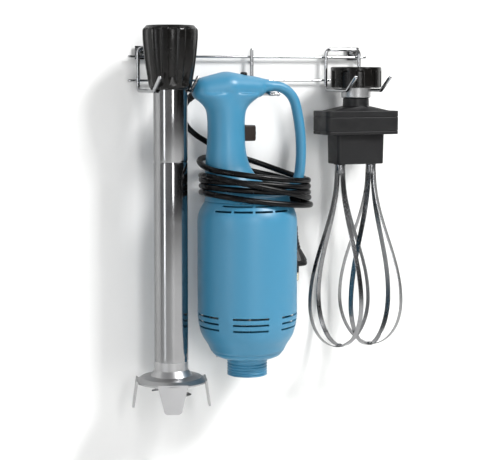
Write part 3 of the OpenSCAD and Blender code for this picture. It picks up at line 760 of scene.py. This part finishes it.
nut_part = lathe(nut_outer + [nut_outer[0]], WHISK, 320, nut_shape, closed=False)
link("whisk_nut_ring", mesh_of("whisk_nut", *nut_part, sharp=45), knob_black, "whisk_nut",
     ("whisk_nut",))

# ---- Gearbox: stepped cover, seam, base and screw bosses ----
wx, wy = WHISK
roof = []
for k in range(64):
    c, n = math.cos(TAU * k / 64), math.sin(TAU * k / 64)
    roof.append((wx + 16.6 * c, wy + 16.6 * n, -66.0))
for x, y in ((38.5, 20.5), (40.5, 17.5)):
    roof += [(wx + a * x, wy + b * y, -72.4) for a in (-1, 1) for b in (-1, 1)]
roof += [(p[0], p[1], -78.0) for p in roof[64:]]
cover = joined(block(wx - 49, wx + 49, wy - 24, wy + 24, -96.8, -79.7, 6.5, 8, 0.9),
               block(wx - 49, wx + 49, wy - 24, wy + 24, -79.3, -72, 6.5, 8, 0.9),
               block(wx - 48.4, wx + 48.4, wy - 23.4, wy + 23.4, -95, -74, 6, 8, 0.8), hull(roof),
               lathe(rounded([(0.5, -69), (17.2, -69), (16.2, -64.4), (16, -57), (15.2, -56), (0.5, -56)], 0.8),
                     (wx, wy), 64))
link("gearbox_cover_moulding", mesh_of("gearbox_cover", *cover, sharp=40), gearbox_grey, "whisk_tool",
     ("gearbox_cover",))
base = joined(block(wx - 49, wx + 49, wy - 24, wy + 24, -101, -97.1, 6.5, 8, 0.9),
              block(wx - 48.4, wx + 48.4, wy - 23.4, wy + 23.4, -99, -96.4, 6, 8, 0.4))
lower = block(wx - 31, wx + 31, wy - 17, wy + 17, -137.7, -99, 4, 8, 1.2)
# the lower box widens a little towards its top
spread = [(x - wx, y - wy, z, 1 + (z + 137.7) * 0.0007) for x, y, z in lower[0]]
base = joined(base, ([(wx + x * grow, wy + y * grow, z) for x, y, z, grow in spread], lower[1]))
for s in (-1, 1):
    base = joined(base, lathe(rounded([(0.3, -130), (8.4, -130), (8.2, -138.5), (0.3, -138.5)], 0.5),
                              (wx + 21 * s, wy), 40))
link("gearbox_base_moulding", mesh_of("gearbox_base", *base, sharp=40), gearbox_grey, "whisk_tool",
     ("gearbox_base",))
collar_line = rounded([(3.6, -56), (17.2, -56), (18.2, -55), (18.2, -38), (24, -38), (24, -34), (13, -34),
                       (13, -37), (3.6, -37)], 0.5, 3)
collar_part = lathe(collar_line + [collar_line[0]], WHISK, 96, closed=False)
link("input_collar_steel", mesh_of("input_collar", *collar_part, sharp=45), brushed, "whisk_tool",
     ("input_collar",))

# ---- Whisks: two strip loops each, clamped in a hub and riveted where they cross ----
LOOP_TOP, LOOP_BOTTOM = -142.0, -367.0


def whisk_radius(t):
    wave = 0.12 + 0.88 * math.sin(math.pi / 2 * min(t / 0.74, 1)) ** 2.1
    tail = 1 if t < 0.74 else math.sqrt(max(1 - ((t - 0.74) / 0.26) ** 2, 0))
    return 45 * wave * tail


def strip_loop(turn, drop):
    """One flat strip bent into a loop, with its long edges rounded."""
    line = []
    for k in range(45):
        t = k / 44 * 0.74
        line.append((whisk_radius(t), t))
    for k in range(1, 25):
        a = math.pi / 2 * k / 24
        line.append((45 * math.cos(a), 0.74 + 0.26 * math.sin(a)))
    height = LOOP_TOP - 3.7 - LOOP_BOTTOM - drop
    path = [(r, LOOP_TOP - 3.7 - height * t) for r, t in line]
    path = path + [(-r, z) for r, z in reversed(path[:-1])]
    width, thick, roll = 3.5, 0.55, 0.45
    section = [(-width, 0), (-width + roll, -thick), (width - roll, -thick), (width, 0), (width - roll, thick),
               (-width + roll, thick)]
    verts = []
    n = len(path)
    for i, (r, z) in enumerate(path):
        r0, z0 = path[max(i - 1, 0)]
        r1, z1 = path[min(i + 1, n - 1)]
        d = Vector((r1 - r0, z1 - z0)).normalized()
        normal = (-d.y, d.x)
        for w, h in section:
            x, y = r + normal[0] * h, w
            verts.append((x * math.cos(turn) - y * math.sin(turn), x * math.sin(turn) + y * math.cos(turn),
                          z + normal[1] * h))
    return verts, stitched(n, len(section))


hub_profiles = [
    (rounded([(0.3, -136.8), (5.6, -136.8), (6.5, -139), (6.5, -148.6), (5.4, -150), (0.3, -150)], 0.6), 48),
    (rounded([(0.3, -149.5), (2.2, -149.5), (2.2, -151.6), (0.3, -151.8)], 0.3), 24),
    (rounded([(0.2, -363.2), (3.0, -363.6), (3.4, -364.8), (3.4, -366.4), (3.1, -367.3), (0.2, -367.8)], 0.4), 32),
    ([(0.3, -137), (5, -137), (5, -73), (0.3, -73)], 32),
]
for node, s, turn in (("whisk_left", -1, 12), ("whisk_right", 1, 33)):
    axis = (wx + s * WHISK_GAP / 2, wy)
    parts = [strip_loop(math.radians(turn), 0), strip_loop(math.radians(turn + 90), 1.3)]
    parts += [lathe(profile, segs=sides) for profile, sides in hub_profiles]
    body = moved(joined(*parts), Matrix.Translation((axis[0], axis[1], 0)))
    link(node + "_wires", mesh_of(node, *body, sharp=35), whisk_steel, node, (node,))

# ---- CAD pieces that stay, each with its own finish ----
finishes = {
    brushed: ["blade_guard", "coupling_seat", "casing_screw_left", "casing_screw_right", "trigger_spring"],
    steel: ["blade", "blade_nut", "drive_shaft", "drive_socket", "rotor_shaft", "bearing_top", "bearing_bottom",
            "middle_bearing", "input_pinion", "drive_tongue"],
    cast: ["bearing_bridge"],
    lamination: ["stator_core", "armature"],
    copper: ["stator_windings", "commutator"],
    carbon: ["brush_left", "brush_right"],
    inner_black_and_slot_shade: ["switch_box"],
    board_green: ["control_board"],
    white: ["cooling_fan", "reduction_wheel", "gear_left", "gear_right"],
    seal: ["shaft_seal"],
    chrome: ["screw_lug_left", "screw_lug_right"],
}
BEVELLED = ("blade_guard", "blade", "blade_nut", "screw_lug_left", "screw_lug_right", "coupling_seat")
for material, names in finishes.items():
    for name in names:
        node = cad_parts[name]
        node.data.materials.clear()
        node.data.materials.append(material)
        if name in BEVELLED:
            bevel(node, 0.35, 30, 3)


# ---- Stage: wall behind the rack, and floor ----
def stage_plane(name, corners):
    me = bpy.data.meshes.new(name)
    me.from_pydata(corners, [], [(0, 1, 2, 3)])
    ob = bpy.data.objects.new(name, me)
    bpy.context.scene.collection.objects.link(ob)
    return ob


wall_material = Nodes("pale_wall")
wall_tones = [(0.35, (0.76, 0.76, 0.75)), (0.65, (0.79, 0.79, 0.785))]
wall_material.feed("Base Color", wall_material.ramp(wall_material.noise(3, 3), wall_tones))
wall_material.set("Roughness", 0.9)
wall_material.feed("Normal", wall_material.bump(wall_material.noise(220, 3), 0.08, 0.0005))
# the wall shows only its front, so the back of the rack can be looked at
side = wall_material.tree.nodes.new("ShaderNodeNewGeometry")
clear = wall_material.tree.nodes.new("ShaderNodeBsdfTransparent")
either = wall_material.tree.nodes.new("ShaderNodeMixShader")
wall_links = wall_material.tree.links
wall_links.new(side.outputs["Backfacing"], either.inputs["Fac"])
wall_links.new(wall_material.shader.outputs["BSDF"], either.inputs[1])
wall_links.new(clear.outputs["BSDF"], either.inputs[2])
wall_links.new(either.outputs["Shader"], wall_material.tree.nodes["Material Output"].inputs["Surface"])
floor_material = Nodes("pale_floor")
floor_tones = [(0.35, (0.78, 0.78, 0.77)), (0.65, (0.81, 0.81, 0.80))]
floor_material.feed("Base Color", floor_material.ramp(floor_material.noise(4, 3), floor_tones))
floor_material.set("Roughness", 0.75)
WALL_Y, FLOOR_Z = 0.0025, -0.62
wall = stage_plane("wall", [(-6, WALL_Y, FLOOR_Z), (6, WALL_Y, FLOOR_Z), (6, WALL_Y, 4), (-6, WALL_Y, 4)])
wall.data.materials.append(wall_material.mat)
floor = stage_plane("floor", [(-6, -7, FLOOR_Z), (6, -7, FLOOR_Z), (6, 3, FLOOR_Z), (-6, 3, FLOOR_Z)])
floor.data.materials.append(floor_material.mat)


# ---- Lights ----
def area(name, place, aim, size, power, tint=(1, 1, 1)):
    data = bpy.data.lights.new(name, "AREA")
    data.shape = "RECTANGLE"
    data.size, data.size_y = size
    data.energy = power
    data.color = tint
    ob = bpy.data.objects.new(name, data)
    ob.location = place
    ob.rotation_euler = (Vector(aim) - Vector(place)).to_track_quat("-Z", "Y").to_euler()
    bpy.context.scene.collection.objects.link(ob)


area("key", (1.5, -1.9, 2.1), (0, -0.05, -0.18), (0.8, 0.8), 138)
area("fill", (-2.2, -1.3, 0.2), (0, -0.05, -0.2), (0.35, 1.8), 12, (0.95, 0.97, 1.0))
area("front", (-0.15, -2.8, 0.5), (-0.05, 0, -0.2), (0.4, 1.5), 24)
world = bpy.data.worlds.new("studio")
world.use_nodes = True
# the studio is light on the left and falls off to a dark flag on the right
sky = world.node_tree
direction = sky.nodes.new("ShaderNodeTexCoord")
split = sky.nodes.new("ShaderNodeSeparateXYZ")
falloff = sky.nodes.new("ShaderNodeValToRGB")
SKY_LEVELS = ((0.26, 0.90), (0.58, 0.34), (0.80, 0.03))
steps = falloff.color_ramp.elements
for element, (place, level) in zip([steps[0], steps.new(0.5), steps[-1]], SKY_LEVELS):
    element.position = place
    element.color = (level, level, level * 1.02, 1)
shift = sky.nodes.new("ShaderNodeMapRange")
shift.inputs["From Min"].default_value = -1
sky.links.new(direction.outputs["Generated"], split.inputs["Vector"])
sky.links.new(split.outputs["X"], shift.inputs["Value"])
sky.links.new(shift.outputs["Result"], falloff.inputs["Fac"])
sky.links.new(falloff.outputs["Color"], sky.nodes["Background"].inputs["Color"])
sky.nodes["Background"].inputs["Strength"].default_value = 0.42
bpy.context.scene.world = world
bpy.context.scene.view_settings.view_transform = "Standard"

bpy.context.view_layer.update()
